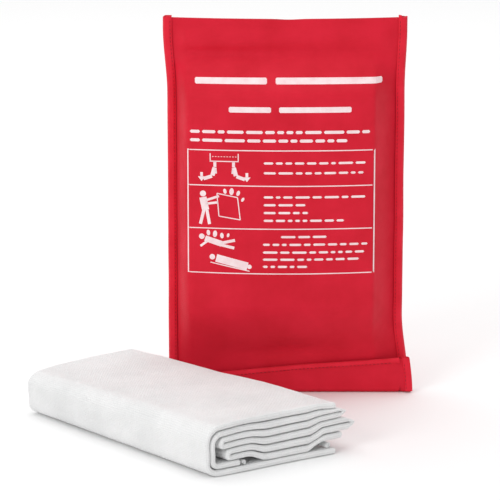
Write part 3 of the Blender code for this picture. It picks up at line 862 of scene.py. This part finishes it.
def level(node):
    """Height of the middle of one leaf."""
    return (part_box(node)[0].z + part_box(node)[1].z) / 2 / MM


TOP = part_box("blanket_top_leaf")[1].z / MM
TOP_LEVEL = level("blanket_top_leaf")
BOTTOM_LEVEL = TOP - TOP_LEVEL
LEAF_LEVELS = [level(f"blanket_leaf_{number}") for number in (1, 2, 3, 4)]
LEAF = LEAF_LEVELS[0] - LEAF_LEVELS[1]
RETURN_LEVEL = BOTTOM_LEVEL + LEAF
INNER_LEVEL = LEAF_LEVELS[0] + LEAF
NOSES = ((LEAF_LEVELS[0] + LEAF / 2, 3.6), (LEAF_LEVELS[2] + LEAF / 2, 4.6))
NOSE_HEIGHT = 2.4               # the folds on the right are pulled out to points at these levels
PACKED, TILT = 0.97, 0.001      # the packet is packed looser towards its near end


def lie(a, b, z):
    """Settles the packet: a runs along it, b across it, and z up, all in mm."""
    near = np.clip((a + HALF_LENGTH) / (2 * HALF_LENGTH), 0, 1)
    # the leaves sink into the empty space between the two hems under them
    sag = (LEAF + 0.25) * ease((b + 15) / 15) * ease((37 - b) / 9) * ease((a + 88) / 30)
    low = RETURN_LEVEL - LEAF / 2
    noses = sum(reach * hill(z - height, NOSE_HEIGHT) for height, reach in NOSES)
    b = b + near ** 2 * noses * ease((b - 40) / 14)
    z = z - sag * ease((z - low) / (LEAF - 0.1)) * np.clip((TOP - z) / (TOP - LEAF_LEVELS[3]), 0, 1)
    # they fan out to the right, most at the near end
    fan = ease((b + 15) / 66) * near
    b = b + fan * (6.5 + 6.0 * hill(z - 15, 9) + 2.0 * hill(z - 29, 5) + 2.5 * hill(z, 5))
    z = z + fan * 1.4 * hill(z - 19, 8) - fan * 1.4 * ease((b - 44) / 14) * ease((z - 28) / 6)
    # the higher a leaf lies, the more it waves, and the top droops towards the spine
    loose = ease((z - 3) / 26)
    z = z + loose * (1.2 * ripple(a, b, z / 4, 80) + 0.5 * ripple(a, b, z / 3 + 50, 27))
    z = z + loose * 0.22 * ripple(a, b * 1.6, z / 3 + 90, 11)
    z = z - loose * near * 2.0 * ease((-12 - b) / 38)
    b = b + 0.9 * ripple(a, z * 2, 9, 62) * ease((z - 1) / 8) + 0.3 * ripple(a, z * 2, b / 3 + 20, 22)
    b = b - 1.1 * ease((-30 - b) / 18) * np.sin(math.pi * np.clip(z / TOP, 0, 1))
    # neither end is cut square, and its layers slip past each other
    skew = (b + 9) / 60 * 6.5 * ease(a / HALF_LENGTH) + 6 * ease((-15 - b) / 36) * ease(-a / HALF_LENGTH)
    a = a + skew + 1.6 * ripple(b / 3, z * 2.2, 30, 22) * ease((abs(a) - 70) / 40)
    z = z * (PACKED + TILT * a)
    return a, b, z


def in_packet(a, b, z):
    """Points in the row frame, in mm, for a place in the packet once it has settled."""
    a, b, z = lie(*np.broadcast_arrays(a, b, z))
    return packet_at + a[..., None] * lengthways + b[..., None] * crossways + z[..., None] * UPWARDS


def half_turn(end, offset, radius, start, steps, way):
    """Where the cloth turns back at one end: its run along the packet and its layer's offset."""
    angles = np.radians(np.linspace(start, -start, steps)[1:-1])
    return [(end + way * radius * math.cos(t), offset + radius * math.sin(t)) for t in angles]


def four_fold():
    """The sheet's run from edge to edge, through its four layers, as (run, offset)."""
    near, far = HALF_LENGTH - 2.1, -HALF_LENGTH + 0.95
    runs = np.linspace(far, near, round((near - far) / RUN_STEP))
    turn = [(a, -0.5 * LAYER) for a in runs]
    turn += half_turn(near, 0, 0.5 * LAYER, -90, 7, 1)
    turn += [(a, 0.5 * LAYER) for a in runs[::-1]]
    turn += half_turn(far, LAYER, 0.5 * LAYER, -90, 7, -1)
    turn += [(a, 1.5 * LAYER) for a in runs]
    turn += half_turn(near, 0, 1.5 * LAYER, 90, 10, 1)
    turn += [(a, -1.5 * LAYER) for a in runs[::-1]]
    return np.array(turn)


def folded(name, path):
    """The four-fold strip of cloth laid along a path of (b, z) points across the packet."""
    turn = four_fold()
    ahead = np.gradient(path, run_length(path), axis=0)
    ahead /= np.linalg.norm(ahead, axis=1)[:, None]
    outward = np.stack([ahead[:, 1], -ahead[:, 0]], -1)
    b = path[:, 0] + turn[:, 1:] * outward[:, 0]
    z = path[:, 1] + turn[:, 1:] * outward[:, 1]
    a = turn[:, :1] + 0 * b
    s, t = np.meshgrid(run_length(path), run_length(turn))
    return cloth(name, in_packet(a, b, z), np.stack([s, t], -1), GLASS_CLOTH, glass_cloth)


# Glass-fibre cloth: off-white continuous yarn in a plain weave, with a faint silky sheen.
GLASS_THREAD = 1.3              # real yarns are about 0.5 mm apart
glass_cloth = cloth_finish("glass_cloth", "#F6F6F6", "#E0E1E1", GLASS_THREAD, 0.62, 0.2, 0.36, 45)

first, second, third, fourth = LEAF_LEVELS
TURN = LEAF / 2 - 0.02
core_path = rounded(
    [(-23, RETURN_LEVEL), (-44.4, RETURN_LEVEL), (-44.4, INNER_LEVEL), (53, INNER_LEVEL),
     (53, first), (-37.5, first), (-37.5, second), (57, second),
     (57, third), (-32.5, third), (-32.5, fourth), (51, fourth)],
    [5, 6.5] + [TURN] * 8, 4.5,
)
inner_folds = folded("inner_folds", core_path)
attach(inner_folds, "blanket")
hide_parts("blanket_inner_fold", *[f"blanket_leaf_{number}" for number in (1, 2, 3, 4)])


def hem_roll(name, b, z, way):
    """The sheet's raw edge, rolled up on itself and sewn."""
    angles = np.linspace(0, 3.4 * math.pi, 34)
    radius = 0.35 + 1.2 * angles / angles[-1]
    path = np.stack([b + way * radius * np.cos(angles), z + radius * np.sin(angles)], -1)
    runs = np.linspace(-HALF_LENGTH + 1, HALF_LENGTH - 1, 56)
    a = runs[:, None] + 0 * path[:, 0]
    s, t = np.meshgrid(run_length(path), runs)
    place = in_packet(a, path[:, 0] + 0 * a, path[:, 1] + 0 * a)
    return cloth(name, place, np.stack([s, t], -1), HEM_CLOTH, glass_cloth)


inner_hem = hem_roll("inner_hem", -19.4, RETURN_LEVEL - 0.2, -1)
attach(inner_hem, "blanket")
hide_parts("blanket_inner_hem")

# --- Blanket, outer fold -------------------------------------------------------------
# The same strip's last stretch: under the leaves, up round the spine and over the top.
# Its top opens like a book cover; here the cloth is drawn closed, rounded where the spine meets it.

cover_path = rounded(
    [(51, TOP_LEVEL - 0.2), (-48.8, TOP_LEVEL), (-48.8, BOTTOM_LEVEL), (48, BOTTOM_LEVEL)], [9, 8.5], 3.6
)
outer_fold = folded("outer_fold", cover_path)
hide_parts("blanket_outer_fold", "blanket_top_leaf")
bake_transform(outer_fold)

outer_hem = hem_roll("outer_hem", 43.2, RETURN_LEVEL - 0.2, 1)
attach(outer_hem, "blanket")
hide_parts("blanket_outer_hem")

# --- Release tapes -------------------------------------------------------------------
# Two short tapes of the same webbing, sewn between the leaves at the packet's far end.
# One is pulled with each hand to draw the blanket out, and here they lie on the table.

TAPE_HALF = 9.8
TAPE_LAID, TAPE_END = -88, -147.4
inner_trim = [inner_hem]
for word in ("left", "right"):
    root = np.array(joints[f"tape_{word}_fold"]["pos_m"]) / MM
    b_middle = (root - packet_at) @ crossways
    path = rounded([(TAPE_LAID, root[2]), (-113.5, root[2]), (-126.4, 0.85), (TAPE_END, 0.85)], [10, 10], 1.5)
    b = np.linspace(-TAPE_HALF, TAPE_HALF, 21)
    s, t = np.meshgrid(run_length(path), b)
    a, z = path[:, 0] + 0 * t, path[:, 1] + 0 * t
    curl = 0.3 * ripple(a, t, b_middle, 20) * ease((-118 - a) / 12)
    place = packet_at + a[..., None] * lengthways + (b_middle + t)[..., None] * crossways
    place = place + (z + abs(curl))[..., None] * UPWARDS
    tape = cloth(f"{word}_release_tape", place[::-1], np.stack([t, s], -1)[::-1], 1.4, woven_webbing)
    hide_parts(f"release_tape_{word}", f"tape_patch_{word}")
    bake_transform(tape)
    tape_middle = packet_at + crossways * b_middle + 1.75 * UPWARDS
    hem = [
        [tape_middle + lengthways * run + crossways * edge for edge in (-8.6, 8.6)]
        for run in (TAPE_END + 1.8, TAPE_END + 10)
    ]
    stitches = stitching(f"{word}_tape_stitches", hem, (0, 0, 1), f"tape_{word}")
    inner_trim += [tape, stitches]
